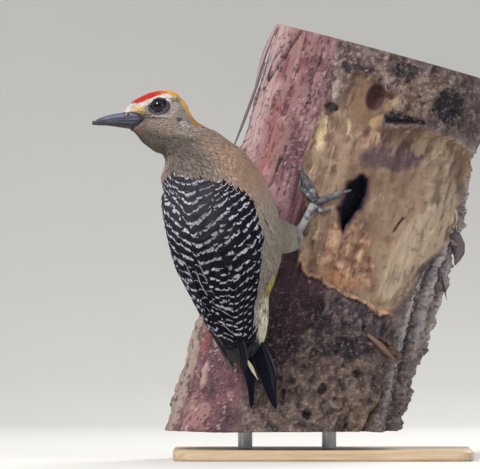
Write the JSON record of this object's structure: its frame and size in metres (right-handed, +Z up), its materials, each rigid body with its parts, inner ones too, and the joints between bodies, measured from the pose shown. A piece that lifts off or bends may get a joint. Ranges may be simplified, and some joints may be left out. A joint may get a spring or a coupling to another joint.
{
  "type": "woodpecker",
  "caption": "Life-size still model of a barred-backed woodpecker clinging to a leaning cut length of hollowed trunk, on a plain display stand.",
  "frame": {"origin": "centre of the stand's flat underside", "axes": "+Z up; the bird's back faces -Y, its bill points along -X, and +X is on its right foot's side"},
  "size_m": [0.2203, 0.1975, 0.2387],
  "materials": {
    "body_feathers": "soft drab feathers, red and gold crown, barred mantle",
    "wing_feathers": "blue-black feathers barred with off-white",
    "tail_feathers": "stiff blue-black feathers with a few pale streaks",
    "bill": "slate horn with a low gloss",
    "eye": "wet dark brown",
    "foot_scales": "grey scaled skin",
    "claw": "grey horn",
    "bark": "flaking red and grey bark with hacked fresh wood",
    "stand_plate": "plain satin wood",
    "stand_rod": "brushed"
  },
  "bodies": {
    "root": {"body": "body_feathers", "head": "body_feathers", "neck": "body_feathers", "bill_upper": "bill", "bill_lower": "bill", "eye_left": "eye", "eye_right": "eye", "wing_left": "wing_feathers", "wing_right": "wing_feathers", "tail_left": "tail_feathers", "tail_right": "tail_feathers", "thigh_left": "body_feathers", "thigh_right": "body_feathers", "shank_left": "foot_scales", "shank_right": "foot_scales", "toe_inner_left": "foot_scales", "claw_inner_left": "claw", "toe_middle_left": "foot_scales", "claw_middle_left": "claw", "toe_outer_left": "foot_scales", "claw_outer_left": "claw", "toe_hind_left": "foot_scales", "claw_hind_left": "claw", "toe_inner_right": "foot_scales", "claw_inner_right": "claw", "toe_middle_right": "foot_scales", "claw_middle_right": "claw", "toe_outer_right": "foot_scales", "claw_outer_right": "claw", "toe_hind_right": "foot_scales", "claw_hind_right": "claw", "perch_log": "bark", "stand_base": "stand_plate", "stand_rod_left": "stand_rod", "stand_rod_right": "stand_rod"}
  },
  "joints": []
}
